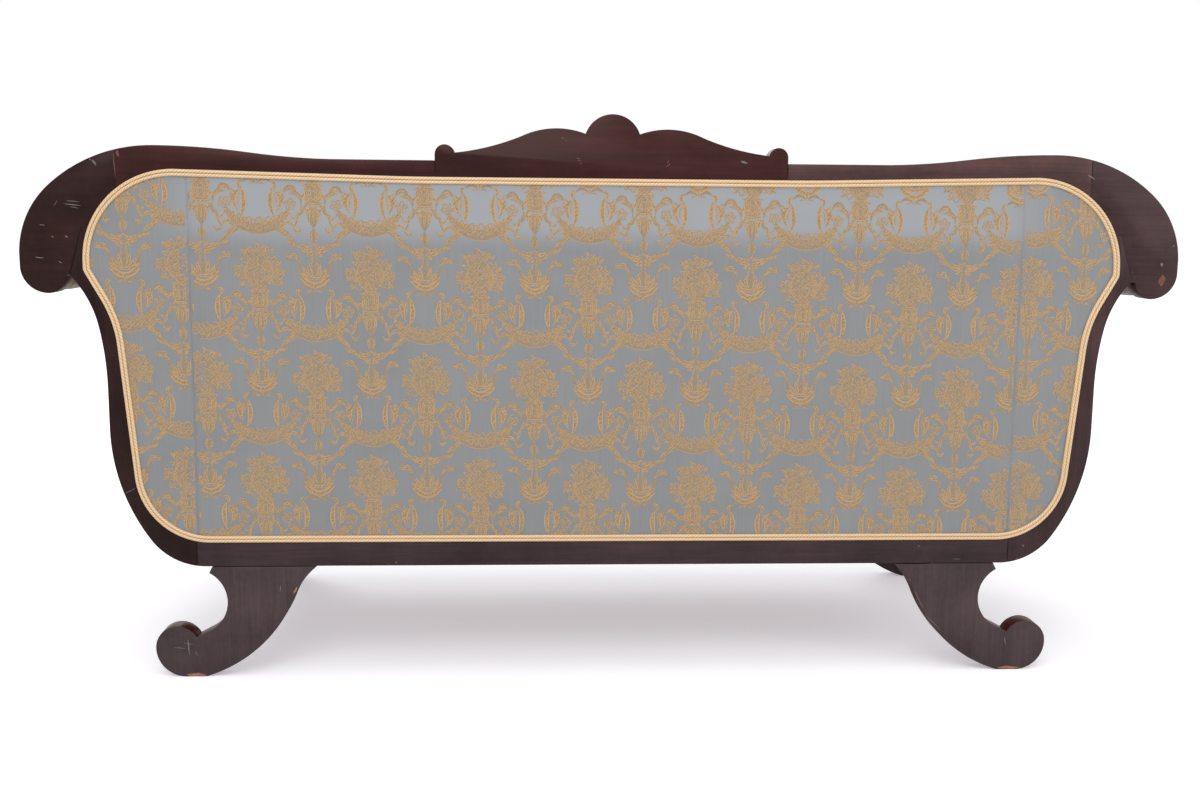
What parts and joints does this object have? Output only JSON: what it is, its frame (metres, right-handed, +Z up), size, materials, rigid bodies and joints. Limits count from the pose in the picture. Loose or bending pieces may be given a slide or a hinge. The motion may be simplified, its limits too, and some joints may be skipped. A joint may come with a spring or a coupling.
{
  "type": "recamier sofa",
  "caption": "Scroll-armed upholstered settee on carved scroll feet, with a shaped wooden back frame and crest, cloth panels edged with gimp.",
  "frame": {"origin": "on the floor, below the middle of the object", "axes": "+X towards the settee's left arm as one sits in it, +Y towards its back, +Z up; a sitter faces -Y"},
  "size_m": [1.93, 0.632, 0.9531],
  "materials": {
    "mahogany": "dark stained mahogany, satin polish",
    "frame_wood": "plain sawn softwood and beech, unpolished",
    "figured_cloth": "grey-blue woven cloth with a tan and gold neoclassical figure",
    "gold_gimp": "cream and gold double cord gimp",
    "jute_webbing": "woven jute web",
    "hessian": "open plain-woven hessian",
    "stuffing": "curled hair stuffing in scrim"
  },
  "bodies": {
    "root": {"arm_formers_left": "frame_wood", "arm_formers_right": "frame_wood", "arm_laths_left": "frame_wood", "arm_laths_right": "frame_wood", "arm_outside_cover_left": "figured_cloth", "arm_outside_cover_right": "figured_cloth", "arm_pad_left": "figured_cloth", "arm_pad_right": "figured_cloth", "arm_scroll_batten_left": "frame_wood", "arm_scroll_batten_right": "frame_wood", "back_bottom_rail": "mahogany", "back_cover_center": "figured_cloth", "back_cover_left": "figured_cloth", "back_cover_right": "figured_cloth", "back_frame_tongues": "frame_wood", "back_hessian": "hessian", "back_muntin_left": "frame_wood", "back_muntin_right": "frame_wood", "back_pad": "figured_cloth", "back_scroll_left": "mahogany", "back_scroll_right": "mahogany", "back_stile_left": "mahogany", "back_stile_right": "mahogany", "back_webbing": "jute_webbing", "corner_blocks": "frame_wood", "cresting_board": "mahogany", "front_frame_tongues": "frame_wood", "front_leg_left": "mahogany", "front_leg_right": "mahogany", "front_scroll_left": "mahogany", "front_scroll_right": "mahogany", "front_seat_rail": "mahogany", "front_stile_left": "mahogany", "front_stile_right": "mahogany", "gimp_arms_front": "gold_gimp", "gimp_arms_rear": "gold_gimp", "gimp_back": "gold_gimp", "gimp_back_inside": "gold_gimp", "gimp_seat_front": "gold_gimp", "leg_blocks": "frame_wood", "leg_tongues": "frame_wood", "rear_leg_left": "mahogany", "rear_leg_right": "mahogany", "seat_cover": "figured_cloth", "seat_hessian": "hessian", "seat_stretcher_left": "frame_wood", "seat_stretcher_right": "frame_wood", "seat_stuffing": "stuffing", "seat_webbing_cross": "jute_webbing", "seat_webbing_long": "jute_webbing", "side_rail_left": "frame_wood", "side_rail_right": "frame_wood", "top_rail_left": "mahogany", "top_rail_right": "mahogany", "tuck_rail": "frame_wood"}
  },
  "joints": []
}
